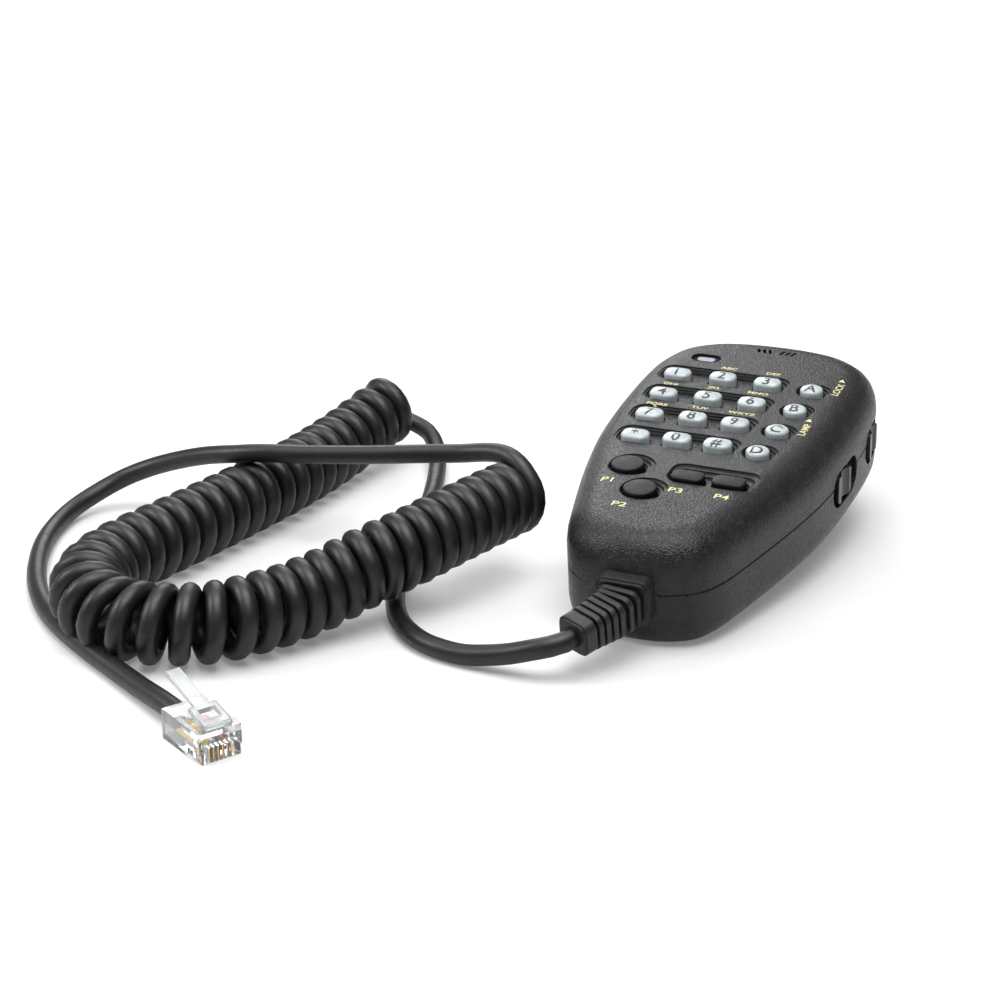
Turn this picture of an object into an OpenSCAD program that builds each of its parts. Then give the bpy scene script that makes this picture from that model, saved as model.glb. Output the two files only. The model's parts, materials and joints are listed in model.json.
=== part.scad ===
// Hand microphone for a mobile radio: two shells, a sixteen-key pad, four function keys, side and
// end controls, the parts inside, and a coiled cord that ends in a six-way modular plug.
//
// The microphone lies face up on its round hang-up button, so everything that belongs to it is
// drawn flat, with the back plane at z = 0 and the cord end at y = 0, and is then leaned by lie().
// The cord and its plug are drawn where they lie on the table, which is z = 0.

/* [Case] */
// Length of the case without its strain relief
body_length = 117; // [112:0.5:122]
// Distance from the back plane to the face
case_depth = 26.8; // [26:0.1:28]
// Height of the line where the two shells meet
parting_height = 14; // [13.5:0.1:14.5]
// Thickness of the side walls
wall = 2.2; // [1.8:0.1:2.4]
// Thickness of the wall that carries the keys
face_wall = 2.8; // [2.6:0.1:3]
// Width of the rounded edge round the face
face_edge = 8.5; // [7:0.1:9]
// Width of the rounded edge round the back
back_edge = 5.5; // [4.5:0.1:6]
// Lean of the microphone as it lies on its hang-up button
lean = 7; // [5:0.1:8]

/* [Keypad] */
// Spacing between the rows of keys
row_pitch = 12.2; // [12:0.05:12.4]
// Width of a digit key
digit_width = 6.8; // [6.4:0.1:7]
// Depth of a digit key along the case
digit_depth = 5; // [4.8:0.1:5.4]
// Diameter of a letter key
letter_diameter = 5.6; // [5.2:0.1:5.8]
// Diameter of the round function keys
round_diameter = 7.8; // [7.4:0.1:8]
// Width of the oblong function keys
oblong_width = 7.8; // [7.4:0.1:8]
// Depth of the oblong function keys along the case
oblong_depth = 4.8; // [4.4:0.1:5]
// Height of the digit and letter keys above the face
key_height = 1.5; // [1.3:0.1:1.8]
// Height of the function keys above the face
function_height = 0.9; // [0.6:0.1:1.1]
// Travel of a key when it is pressed
key_travel = 1; // [0.8:0.1:1]
// Gap between a key and the hole that it moves in
key_gap = 0.3; // [0.25:0.05:0.35]

/* [Side controls] */
// Length of the push-to-talk bar
ptt_length = 30; // [28:0.5:31]
// Angle that the push-to-talk bar swings in by
ptt_swing = 2.5; // [1.5:0.1:2.5]
// Travel of the two slide switches
slider_travel = 3.6; // [3:0.1:3.8]
// Travel of the two buttons in the top end
end_button_travel = 0.9; // [0.6:0.1:0.9]

/* [Back] */
// Diameter of the hang-up button
hang_diameter = 19; // [18:0.1:20]
// Diameter of the neck that a hanger slot grips
hang_neck = 11; // [10:0.1:12]

/* [Cord] */
// Diameter of the cord
cord_diameter = 4.7; // [4.5:0.1:4.8]
// Outer diameter of the curly stretch
coil_diameter = 18.4; // [18:0.1:18.4]

/* [Hidden] */
$fn = 48;

digit_names = ["key_1", "key_2", "key_3", "key_4", "key_5", "key_6", "key_7", "key_8", "key_9",
    "key_star", "key_0", "key_hash"];
letter_names = ["key_a", "key_b", "key_c", "key_d"];
function_names = ["key_p1", "key_p2", "key_p3", "key_p4"];
other_names = ["front_case", "back_case", "keypad_mat", "circuit_board", "board_parts", "encoder_chip",
    "status_led", "led_lens", "mic_capsule", "mic_boot", "ptt_bar", "ptt_pin", "ptt_switch",
    "lock_slider", "lamp_slider", "lock_switch", "lamp_switch", "up_button", "down_button",
    "up_down_switches", "wire_socket", "inner_wires", "strain_relief", "hang_button", "hang_screw",
    "case_screws", "board_screws", "rating_label", "cord_mic_lead", "cord_coil", "cord_plug_lead",
    "plug_body", "plug_latch", "plug_contacts", "plug_wires"];

case_colour = "#2b2d30";
key_colour = "#c9d3dc";
rubber_colour = "#1b1c1e";
metal_colour = "#b9bcc0";
board_colour = "#2f6b45";

// ---------------------------------------------------------------- outline of the case

// Right half of the outline, from the middle of the cord end to the middle of the top end, for a
// case 117 mm long. The left half mirrors it.
half_outline = [[0, 0], [8, 1], [14.8, 4.6], [18.6, 11], [21, 19], [23.6, 29], [26.4, 41], [28.6, 53],
    [29.8, 65], [30.4, 77], [30.4, 89], [29.3, 99.5], [25.4, 108.3], [17.6, 114.2], [8.8, 116.5], [0, 117]];
last_half = len(half_outline) - 1;
length_ratio = body_length / half_outline[last_half].y;
full_outline = concat(
    [for (p = half_outline) [p.x, p.y * length_ratio]],
    [for (i = [last_half - 1 : -1 : 1]) [-half_outline[i].x, half_outline[i].y * length_ratio]]);
points_between = 3;

// A curve through b and c that leaves b towards c in line with a and d, at t from 0 to 1.
function between(a, b, c, d, t) =
    0.5 * (2 * b + (c - a) * t + (2 * a - 5 * b + 4 * c - d) * t * t + (3 * b - a - 3 * c + d) * t * t * t);

function around(list, i) = list[(i + len(list)) % len(list)];

edge_line = [for (i = [0 : len(full_outline) - 1], s = [0 : points_between - 1])
    between(around(full_outline, i - 1), around(full_outline, i), around(full_outline, i + 1),
        around(full_outline, i + 2), s / points_between)];

// Direction from the outline straight into the case at point i.
function inward(i) =
    let (along = around(edge_line, i + 1) - around(edge_line, i - 1))
    [-along.y, along.x] / norm(along);

function inset_line(inset) = [for (i = [0 : len(edge_line) - 1]) edge_line[i] + inset * inward(i)];

function ring(inset, z) = [for (p = inset_line(inset)) [p.x, p.y, z]];

// Rings of a rounded edge that starts on a wall and ends on a flat, a quarter of an ellipse.
function rounded_rings(first_inset, width, wall_z, flat_z, steps) = [for (s = [0 : steps])
    let (a = 90 * s / steps)
    ring(first_inset + width * (1 - cos(a)), wall_z + (flat_z - wall_z) * sin(a))];

function reversed(list) = [for (i = [len(list) - 1 : -1 : 0]) list[i]];

// A solid through rings that all have the same number of points, from the lowest ring up.
module stack(rings) {
    count = len(rings[0]);
    last = len(rings) - 1;
    polyhedron(
        points = [for (r = rings) each r],
        faces = concat(
            [[for (k = [0 : count - 1]) k]],
            [for (j = [0 : last - 1], k = [0 : count - 1])
                [j * count + k, (j + 1) * count + k, (j + 1) * count + (k + 1) % count]],
            [for (j = [0 : last - 1], k = [0 : count - 1])
                [j * count + k, (j + 1) * count + (k + 1) % count, j * count + (k + 1) % count]],
            [[for (k = [count - 1 : -1 : 0]) last * count + k]]));
}

// ---------------------------------------------------------------- levels and places

seam = 0.25;                                     // depth of the fine groove at the parting line
face_edge_start = 18.3;                          // where the side wall turns into the face edge
ceiling = case_depth - face_wall;                // inside of the wall that carries the keys
inner_edge = face_edge - wall + 0.4;             // width of the rounded edge inside the front shell
floor_thickness = 2.2;
flange_gap = 0.3;                                // air above a key's flange at rest
flange_top = ceiling - flange_gap;
flange_thickness = 1.1;
flange_bottom = flange_top - flange_thickness;
dome_top = flange_bottom - key_travel - 0.3;
board_top = 18.4;
board_thickness = 1.6;
board_bottom = board_top - board_thickness;
control_height = parting_height - 1.4;           // middle of the side and end controls

// The lowest line of the rounded back edge touches the table, and the hang-up button reaches down
// to meet the table too.
rest_drop = back_edge * (sin(lean) + cos(lean) - 1);
hang_y = 76;
hang_reach = ((hang_y - hang_diameter / 2) * sin(lean) - rest_drop) / cos(lean);

// The origin is the middle of the microphone's footprint: this far from the case's centre line,
// because the push-to-talk bar stands out on one side, and this far from its cord end.
footprint_side = 0.7;
footprint_middle = 47.3;

// Puts what is drawn flat where it lies on the table.
module lie() {
    translate([footprint_side, -footprint_middle, -rest_drop]) rotate([lean, 0, 0]) children();
}

top_row_y = 86.7;
keypad_shift = -1.2;
row_bow = 0.5;
column_pitch = [11.6, 11.2, 10.7, 10.1];
function key_place(column, row) = [
    (column - 1.5) * column_pitch[row] + keypad_shift,
    top_row_y - row * row_pitch - row_bow * (pow(column - 1.5, 2) - 1.25)];
digit_places = [for (row = [0 : 3], column = [0 : 2]) key_place(column, row)];
letter_places = [for (row = [0 : 3]) key_place(3, row)];
round_places = [[-12.6, 34.6], [-5.7, 24]];
oblong_places = [[2.6, 33], [12.4, 33.2]];

led_place = [-15.1, 98.2];
mic_place = [0.8, 102.5];
slots_y = 106.8;
slots_x = 0.9;
case_boss_places = [[-11.2, 11.5], [11.2, 11.5], [-20, 104], [20, 104]];
board_post_places = [for (y = [top_row_y - row_pitch / 2, top_row_y - 2.5 * row_pitch], x = [-11.2, 11])
    [x + keypad_shift, y]];
relief_height = 13.4;

ptt_top_y = 92.5;
ptt_bottom_y = ptt_top_y - ptt_length;
ptt_height = 8.4;
ptt_pivot = [-24.6, ptt_top_y + 4];
ptt_pin_radius = 1;

lamp_place = [29.95, 69];
lamp_turn = -4;
lock_place = [30.05, 94];
lock_turn = 4;
slider_pocket = [17, 9.6];
pocket_depth = 1.7;
end_button_x = 9;
end_button_turn = 9;

// ---------------------------------------------------------------- small helpers

// A rectangle with rounded corners, centred.
module rounded(width, height, corner) {
    square([width - 2 * corner, height], center = true);
    square([width, height - 2 * corner], center = true);
    for (x = [-1, 1], y = [-1, 1]) {
        translate([x * (width / 2 - corner), y * (height / 2 - corner)]) circle(corner);
    }
}

module plate(width, height, corner, bottom, top) {
    translate([0, 0, bottom]) linear_extrude(top - bottom) rounded(width, height, corner);
}

module disc(diameter, bottom, top) {
    translate([0, 0, bottom]) cylinder(d = diameter, h = top - bottom);
}

module at(place) {
    translate([place.x, place.y, 0]) children();
}

// Stands a child that is drawn in a flat plane up, so that its z axis points along +x.
module facing_right() {
    rotate([90, 0, 90]) children();
}

// ---------------------------------------------------------------- shells

front_outside = concat([ring(seam, parting_height), ring(0, parting_height + seam)],
    rounded_rings(0, face_edge, face_edge_start, case_depth, 6));
front_inside = concat([ring(wall, parting_height - 1)],
    rounded_rings(wall, inner_edge, face_edge_start - 1, ceiling, 4));
back_outside = concat(reversed(rounded_rings(0, back_edge, back_edge, 0, 5)),
    [ring(0, parting_height - seam), ring(seam, parting_height)]);
back_inside = concat(reversed(rounded_rings(wall, back_edge - 1, back_edge + 0.8, floor_thickness, 3)),
    [ring(wall, parting_height + 1)]);

recess_steps = 3;
step_width = 0.8;
step_depth = 0.45;

// Terraced hollows round the keys: each step is smaller and deeper than the one before.
module face_recesses() {
    for (s = [0 : recess_steps - 1]) {
        grow = (recess_steps - 1 - s) * step_width;
        depth = (s + 1) * step_depth;
        for (row = [0 : 3]) {
            left = key_place(0, row).x;
            right = key_place(2, row).x;
            translate([(left + right) / 2, key_place(1, row).y - 0.25 + grow * 0.3]) {
                plate(right - left + digit_width + 1.6 + grow * 1.4, digit_depth + 2 + grow * 1.3, 3.4,
                    case_depth - depth, case_depth + 1);
            }
            at(letter_places[row]) {
                translate([grow * 0.3, grow * 0.3]) {
                    disc(letter_diameter + 1.4 + grow, case_depth - depth, case_depth + 1);
                }
            }
        }
        for (place = round_places) {
            at(place) translate([grow * 0.5, grow * 0.5]) {
                disc(round_diameter + 1.4 + grow, case_depth - depth, case_depth + 1);
            }
        }
        at((oblong_places[0] + oblong_places[1]) / 2) translate([grow * 0.4, grow * 1.2]) {
            plate(oblong_places[1].x - oblong_places[0].x + oblong_width + 1.6 + grow * 1.2,
                oblong_depth + 1.6 + grow * 1.8, 3, case_depth - depth, case_depth + 1);
        }
    }
    at(led_place) plate(7.6, 4.8, 2.2, case_depth - 0.8, case_depth + 1);
}

module key_openings() {
    for (place = digit_places) {
        at(place) {
            plate(digit_width + 2 * key_gap, digit_depth + 2 * key_gap, 2.4, ceiling - 1, case_depth + 1);
        }
    }
    for (place = letter_places) {
        at(place) disc(letter_diameter + 2 * key_gap, ceiling - 1, case_depth + 1);
    }
    for (place = round_places) {
        at(place) disc(round_diameter + 2 * key_gap, ceiling - 1, case_depth + 1);
    }
    for (place = oblong_places) {
        at(place) {
            plate(oblong_width + 2 * key_gap, oblong_depth + 2 * key_gap, 2.2, ceiling - 1, case_depth + 1);
        }
    }
    at(led_place) plate(5.2, 2.8, 1.2, ceiling - 2, case_depth + 1);
}

// Three short slanted slots on each side of the middle, in front of the capsule.
module mic_slots() {
    for (side = [-1, 1], i = [0 : 2]) {
        translate([slots_x + side * (1.6 + 1.5 * i), slots_y, ceiling - 6]) {
            rotate([0, 0, -20 * side]) linear_extrude(12) rounded(0.7, 2.4, 0.3);
        }
    }
}

// Where a slider or a button sits in the wall, drawn in a frame whose z axis points outwards.
module at_wall(place, turn) {
    translate([place.x, place.y, control_height]) rotate([0, 0, turn]) facing_right() children();
}

module slider_pocket_cut(place, turn) {
    at_wall(place, turn) {
        translate([0, 0, -pocket_depth]) linear_extrude(5) {
            rounded(slider_pocket.x, slider_pocket.y, slider_pocket.y / 2 - 0.2);
        }
        translate([0, 0, -8]) linear_extrude(9) rounded(slider_travel + 3.6, 2.8, 0.6);
    }
}

// The wall behind a slider's pocket is thicker, so that the pocket has a floor.
module slider_pad(place, turn) {
    intersection() {
        at_wall(place, turn) {
            translate([0, 0, -3.6]) linear_extrude(5) {
                square([slider_pocket.x + 3, slider_pocket.y + 1.6], center = true);
            }
        }
        linear_extrude(case_depth) polygon(inset_line(wall / 2));
    }
}

module end_button_frame(side) {
    translate([side * end_button_x, body_length - 1.1, control_height]) {
        rotate([0, 0, 90 - side * end_button_turn]) facing_right() children();
    }
}

// Everything that is cut through both shells, because it crosses the parting line.
module shared_openings() {
    translate([-40, ptt_bottom_y - 0.8, control_height - ptt_height / 2 - 0.4]) {
        cube([16, ptt_length + 1.2, ptt_height + 0.8]);
    }
    slider_pocket_cut(lamp_place, lamp_turn);
    slider_pocket_cut(lock_place, lock_turn);
    for (side = [-1, 1]) {
        end_button_frame(side) translate([0, 0, -5]) linear_extrude(10) rounded(9.6, 5.6, 2);
    }
    translate([0, 4, relief_height]) rotate([90, 0, 0]) linear_extrude(9) rounded(10.1, 8.1, 1.5);
}

module front_case() {
    color(case_colour) difference() {
        union() {
            difference() {
                stack(front_outside);
                stack(front_inside);
            }
            for (place = case_boss_places) {
                at(place) disc(6, parting_height, ceiling + 0.5);
            }
            for (place = board_post_places) {
                at(place) disc(3.4, board_top + 0.05, ceiling + 0.5);
            }
            at(mic_place) difference() {
                disc(14, ceiling - 3.4, ceiling + 0.5);
                disc(12, ceiling - 4, ceiling + 1);
            }
            intersection() {
                union() {
                    slider_pad(lamp_place, lamp_turn);
                    slider_pad(lock_place, lock_turn);
                }
                translate([0, 0, parting_height]) linear_extrude(8) polygon(inset_line(1));
            }
        }
        face_recesses();
        key_openings();
        mic_slots();
        shared_openings();
        for (place = case_boss_places) {
            at(place) disc(2, parting_height - 1, parting_height + 7.5);
        }
        for (place = board_post_places) {
            at(place) disc(1.4, board_top - 1, board_top + 4.5);
        }
    }
}

module back_case() {
    color(case_colour) difference() {
        union() {
            difference() {
                stack(back_outside);
                stack(back_inside);
            }
            for (place = case_boss_places) {
                at(place) disc(6.6, floor_thickness - 1, parting_height);
            }
            at([0, hang_y]) disc(14, floor_thickness - 1, 6.5);
            at(ptt_pivot) disc(5, floor_thickness - 1, control_height - ptt_height / 2 - 0.6);
            intersection() {
                union() {
                    slider_pad(lamp_place, lamp_turn);
                    slider_pad(lock_place, lock_turn);
                }
                linear_extrude(parting_height) polygon(inset_line(1));
            }
        }
        shared_openings();
        for (place = case_boss_places) {
            at(place) {
                disc(2.6, -1, parting_height + 1);
                disc(5.4, -1, 8);
            }
        }
        at([0, hang_y]) disc(3.4, -1, 8);
        at(ptt_pivot) disc(2 * ptt_pin_radius, 3.6, 12);
        translate([0, 40, -1]) linear_extrude(1.3) rounded(26.6, 30.6, 2);
    }
}

// ---------------------------------------------------------------- keys, mat and window

key_top = case_depth + key_height;
crown = 0.55;

module digit_key(i) {
    color(key_colour) at(digit_places[i]) {
        plate(digit_width, digit_depth, 2.2, flange_top - 0.01, key_top - crown);
        plate(digit_width - 0.9, digit_depth - 0.9, 1.9, key_top - crown - 0.01, key_top);
        plate(digit_width + 1.6, digit_depth + 1.6, 2, flange_bottom, flange_top);
    }
}

module letter_key(i) {
    color(key_colour) at(letter_places[i]) {
        disc(letter_diameter, flange_top - 0.01, key_top - crown);
        disc(letter_diameter - 0.9, key_top - crown - 0.01, key_top);
        disc(letter_diameter + 1.6, flange_bottom, flange_top);
    }
}

function_top = case_depth + function_height;

module round_key(i) {
    color(rubber_colour) at(round_places[i]) {
        disc(round_diameter, flange_top - 0.01, function_top - 0.4);
        disc(round_diameter - 0.8, function_top - 0.41, function_top);
        disc(round_diameter + 1.6, flange_bottom, flange_top);
    }
}

module oblong_key(i) {
    color(rubber_colour) at(oblong_places[i]) {
        plate(oblong_width, oblong_depth, 2, flange_top - 0.01, function_top - 0.4);
        plate(oblong_width - 0.8, oblong_depth - 0.8, 1.7, function_top - 0.41, function_top);
        plate(oblong_width + 1.2, oblong_depth + 1.6, 1.8, flange_bottom, flange_top);
    }
}

// Silicone sheet with a low dome under every key.
module keypad_mat() {
    color("#4a4d52") {
        difference() {
            translate([0, 0, board_top + 0.1]) linear_extrude(1) intersection() {
                translate([0, (22 + top_row_y) / 2]) rounded(44, top_row_y - 22 + 14, 4);
                polygon(inset_line(4.2));
            }
            for (place = board_post_places) {
                at(place) disc(4.4, board_top - 1, board_top + 3);
            }
        }
        for (place = concat(digit_places, letter_places, round_places, oblong_places)) {
            at(place) disc(4.6, board_top + 1.09, dome_top);
        }
    }
}

module led_lens() {
    color("#dfe6e2") at(led_place) {
        plate(4.7, 2.3, 1, ceiling - 0.21, case_depth - 0.35);
        plate(6, 3.8, 1, ceiling - 1, ceiling - 0.2);
    }
}

module status_led() {
    color("#f2f0d8") at(led_place) translate([-1, -0.6, board_top]) cube([2, 1.2, 1]);
}

module mic_capsule() {
    color(metal_colour) at(mic_place) difference() {
        disc(9.6, board_top + 0.1, ceiling - 0.9);
        disc(4, ceiling - 1.2, ceiling);
    }
}

module mic_boot() {
    color(rubber_colour) at(mic_place) difference() {
        disc(11.8, board_top + 0.1, ceiling - 0.05);
        disc(9.7, board_top, ceiling - 0.8);
        disc(7, ceiling - 2, ceiling + 1);
    }
}

// ---------------------------------------------------------------- board and what it carries

module circuit_board() {
    color(board_colour) difference() {
        translate([0, 0, board_bottom]) linear_extrude(board_thickness) {
            intersection() {
                polygon(inset_line(4.2));
                translate([-40, 18]) square([80, 93]);
            }
        }
        translate([-40, ptt_bottom_y - 4, board_bottom - 1]) {
            cube([16.5, ptt_length + 11, board_thickness + 2]);
        }
        for (place = case_boss_places) {
            at(place) disc(7.2, board_bottom - 1, board_top + 1);
        }
        for (place = board_post_places) {
            at(place) disc(1.8, board_bottom - 1, board_top + 1);
        }
        at(ptt_pivot) disc(6, board_bottom - 1, board_top + 1);
    }
}

module encoder_chip() {
    color("#202124") {
        translate([-4, 44, board_bottom - 2.2]) cube([8, 12, 2]);
        for (side = [-1, 1], i = [0 : 8]) {
            translate([side * 4.8 - 0.8, 44.4 + i * 1.3, board_bottom - 0.9]) cube([1.6, 0.5, 0.9]);
        }
    }
}

module board_parts() {
    color("#8a7f6a") {
        for (i = [0 : 3]) {
            column = 3.2 * (i % 2);
            y = 36 + 5 * floor(i / 2);
            translate([9 + column, y, board_bottom - 0.8]) cube([1.6, 3.2, 0.8]);
            translate([-12 - column, y, board_bottom - 0.8]) cube([1.6, 3.2, 0.8]);
        }
        for (x = [-8, 8]) {
            translate([x, 64, board_bottom - 5]) cylinder(d = 5, h = 5);
        }
    }
}

module board_screws() {
    color(metal_colour) for (place = board_post_places) {
        at(place) {
            disc(1.4, board_bottom - 0.1, board_top + 4);
            disc(3, board_bottom - 1.1, board_bottom);
        }
    }
}

// Socket that the cord's inner wires plug into.
module wire_socket() {
    color("#e8e4d4") difference() {
        translate([-7, 22, board_bottom - 5]) cube([14, 6, 5]);
        translate([-6, 20, board_bottom - 4.2]) cube([12, 5, 3.2]);
    }
}

wire_colours = 6;
wire_gap = 1.3;
module inner_wires() {
    color("#b04a3a") for (i = [0 : wire_colours - 1]) {
        translate([(i - (wire_colours - 1) / 2) * wire_gap, 4.2, relief_height]) {
            rotate([-90, 0, 0]) cylinder(d = 1.1, h = 20);
        }
    }
}

// ---------------------------------------------------------------- push-to-talk

module ptt_bar() {
    low = control_height - ptt_height / 2;
    color(rubber_colour) {
        difference() {
            intersection() {
                translate([-40, ptt_bottom_y, low]) cube([14.6, ptt_length, ptt_height]);
                difference() {
                    linear_extrude(case_depth) polygon(inset_line(-1.5));
                    linear_extrude(case_depth) polygon(inset_line(wall + 1.2));
                }
            }
            for (i = [0 : 5]) {
                translate([-40, (ptt_bottom_y + ptt_top_y) / 2 - 6.6 + i * 2.6, low - 1]) {
                    cube([9.1, 1.1, ptt_height + 2]);
                }
            }
        }
        difference() {
            union() {
                intersection() {
                    translate([-40, ptt_bottom_y - 1.2, low - 1]) {
                        cube([20, ptt_length + 2.2, ptt_height + 2]);
                    }
                    difference() {
                        linear_extrude(case_depth) polygon(inset_line(wall + 0.4));
                        linear_extrude(case_depth) polygon(inset_line(wall + 1.8));
                    }
                }
                at(ptt_pivot) disc(4.4, low, low + ptt_height);
                translate([ptt_pivot.x - 2.2, ptt_top_y - 2, low]) cube([1.6, 6, ptt_height]);
            }
            at(ptt_pivot) disc(2 * ptt_pin_radius + 0.1, low - 1, low + ptt_height + 1);
        }
    }
}

module ptt_pin() {
    color(metal_colour) at(ptt_pivot) disc(2 * ptt_pin_radius, 3.6, control_height + ptt_height / 2 + 0.2);
}

module ptt_switch() {
    color("#2f3236") {
        translate([-23.6, 64, board_bottom - 6.4]) cube([6, 10, 6.4]);
        translate([-24.4, 68.2, board_bottom - 4.9]) cube([0.9, 1.6, 1.6]);
    }
}

// ---------------------------------------------------------------- slide switches

module slider(place, turn) {
    rest = -slider_travel / 2;
    color(rubber_colour) at_wall(place, turn) translate([rest, 0, 0]) {
        difference() {
            translate([0, 0, -pocket_depth + 0.25]) linear_extrude(pocket_depth + 0.25) {
                rounded(8.6, 7.2, 1.4);
            }
            translate([0.4, 0, 4]) rotate([90, 0, 0]) cylinder(r = 4.4, h = 9, center = true);
        }
        translate([-1.4, -1, -6.4]) cube([2.8, 2, 6.4 - pocket_depth + 0.5]);
    }
}

module slide_switch(place, turn) {
    color("#c8cbce") at_wall(place, turn) difference() {
        translate([-5.2, -3.2, -9.5]) cube([10.4, board_bottom - control_height + 3.2, 5.2]);
        translate([-(slider_travel + 3.6) / 2, -1.4, -8]) cube([slider_travel + 3.6, 2.8, 6]);
    }
}

module lock_slider() slider(lock_place, lock_turn);
module lamp_slider() slider(lamp_place, lamp_turn);
module lock_switch() slide_switch(lock_place, lock_turn);
module lamp_switch() slide_switch(lamp_place, lamp_turn);

// ---------------------------------------------------------------- buttons in the top end

module end_button(side) {
    color(rubber_colour) end_button_frame(side) {
        translate([0, 0, -2.4]) linear_extrude(4.6) rounded(9, 5, 1.8);
        translate([0, 0, -3.4]) linear_extrude(1.1) rounded(10.8, 6.6, 1.8);
    }
}

module up_down_switches() {
    color("#3a3d41") for (side = [-1, 1]) {
        end_button_frame(side) {
            translate([-3, -3, -8.6]) cube([6, board_bottom - control_height + 3, 3.8]);
            translate([0, 0, -4.9]) cylinder(d = 3, h = 0.3);
        }
    }
}

// ---------------------------------------------------------------- strain relief and back

relief_start = -3.6;
relief_length = 16;
relief_bend = 25;                                // the cord pulls the boot this far to the left
relief_dip = 5;                                  // and lets it hang this much
relief_curve = 5.5;                              // the bend is over this far from the flange
relief_radius = relief_curve / (relief_bend * PI / 180);
rib_count = 6;
rib_pitch = 1.95;
first_rib = 1.5;

// Place and heading at a distance s along the boot.
function relief_turn(s) = relief_bend * min(s, relief_curve) / relief_curve;
function relief_place(s) =
    let (t = relief_turn(s), straight = max(s - relief_curve, 0))
    [-relief_radius * (1 - cos(t)) - straight * sin(t), -relief_radius * sin(t) - straight * cos(t), 0];

module along_relief(s) {
    translate([0, relief_start, relief_height]) rotate([relief_dip, 0, 0]) translate(relief_place(s)) {
        rotate([90, 0, -relief_turn(s)]) children();
    }
}

module strain_relief() {
    color(rubber_colour) difference() {
        union() {
            translate([0, 3.4, relief_height]) rotate([90, 0, 0]) linear_extrude(5.4) rounded(9.9, 7.9, 1.4);
            translate([0, 5, relief_height]) rotate([90, 0, 0]) linear_extrude(1.7) rounded(13, 10, 1.8);
            translate([0, 0.4, relief_height]) rotate([90, 0, 0]) linear_extrude(3.5) rounded(12.6, 11, 2.4);
            translate([0, 0.4, relief_height]) rotate([90, 0, 0]) linear_extrude(4.2) rounded(11.6, 10, 2.2);
            for (i = [0 : rib_count - 1]) {
                shrink = 0.3 * i;
                along_relief(first_rib + i * rib_pitch) {
                    linear_extrude(1.35, center = true) rounded(10.4 - shrink, 9.4 - shrink * 0.8, 2.2);
                }
                along_relief(first_rib + (i - 0.5) * rib_pitch) {
                    linear_extrude(1.6, center = true) rounded(8.2 - shrink, 7.2 - shrink * 0.8, 1.6);
                }
            }
            along_relief(first_rib + (rib_count - 0.5) * rib_pitch) {
                linear_extrude(1.6, center = true) rounded(6.2, 5.4, 1.6);
            }
            along_relief(relief_length - 1.95) linear_extrude(2.9, center = true) rounded(8.7, 8, 2.2);
            along_relief(relief_length - 1.6) linear_extrude(3.2, center = true) rounded(7.8, 7.1, 2);
        }
        translate([0, 6, relief_height]) rotate([90, 0, 0]) cylinder(d = 9, h = 1.8);
    }
}

module hang_button() {
    color(case_colour) at([0, hang_y]) rotate_extrude() polygon([
        [1.6, 0], [1.6, -hang_reach + 2.2], [3.6, -hang_reach + 2.2], [3.6, -hang_reach],
        [hang_diameter / 2 - 0.5, -hang_reach], [hang_diameter / 2, -hang_reach + 0.5],
        [hang_diameter / 2, -hang_reach + 2.2], [hang_diameter / 2 - 0.6, -hang_reach + 2.8],
        [hang_neck / 2, -hang_reach + 2.8], [hang_neck / 2, -0.8], [hang_neck / 2 + 0.8, 0]]);
}

module hang_screw() {
    color(metal_colour) at([0, hang_y]) {
        disc(3.1, -hang_reach + 2.2, 7.5);
        disc(6.4, -hang_reach + 0.7, -hang_reach + 2.2);
    }
}

module case_screws() {
    color(metal_colour) for (place = case_boss_places) {
        at(place) difference() {
            union() {
                disc(2, 7, parting_height + 7);
                disc(4.8, 6.4, 8);
            }
            for (turn = [0, 90]) {
                rotate([0, 0, turn]) translate([-1.3, -0.25, 6]) cube([2.6, 0.5, 1.2]);
            }
        }
    }
}

module rating_label() {
    color("#9aa0a5") translate([0, 40, 0.1]) linear_extrude(0.2) rounded(26, 30, 1.8);
}

// ---------------------------------------------------------------- cord

// Middle line of each stretch, as points chosen along the way it lies on the table.
mic_lead_route = [
    [-5.7, -67, 9], [-6.6, -69, 8.6], [-9, -71, 8], [-13, -72, 6.8], [-18, -72, 5],
    [-23.5, -72, 3.6], [-29, -71.8, 2.6], [-34.5, -71, 2.4], [-39.5, -69.4, 2.4],
    [-44, -66.6, 2.4], [-48, -63, 2.4], [-52, -58, 2.4], [-56, -51, 2.4], [-60, -42.5, 2.4],
    [-64, -32, 2.4], [-68, -19.5, 2.4], [-72, -5.5, 2.4], [-76, 8.5, 2.4], [-79.5, 18.5, 2.4],
    [-82.6, 26.5, 2.6], [-85.6, 33.6, 3.2], [-88.8, 39.8, 4.4], [-92.8, 44.8, 6.2],
    [-97.6, 48, 8.4], [-102.8, 48.8, 10.8], [-107.4, 46.8, 13],
];
coil_route = [
    [-102.6, 40.6, 15], [-104.6, 33, 13], [-106.2, 25, 11.1], [-107.6, 14.5, 9.7],
    [-108.5, 2, 9.2], [-109.5, -11, 9.2], [-111.4, -26, 9.2], [-113.6, -41.5, 9.2],
    [-116, -56, 9.2], [-118, -69, 9.2], [-117.6, -79.5, 9.2], [-113.8, -88.5, 9.2],
    [-107, -95, 9.2], [-99, -98, 9.2], [-91, -97.6, 9.2], [-84, -94.8, 9.2], [-78, -90, 9.2],
    [-73.4, -83.4, 9.2], [-69.4, -76.4, 9.4], [-65.4, -69.6, 10.4], [-61.4, -63.6, 12.2],
    [-57.4, -57.4, 14], [-53, -50, 15.4], [-48.8, -40, 16.8], [-44.4, -28, 17.9],
    [-40.6, -16, 18.4],
];
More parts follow.
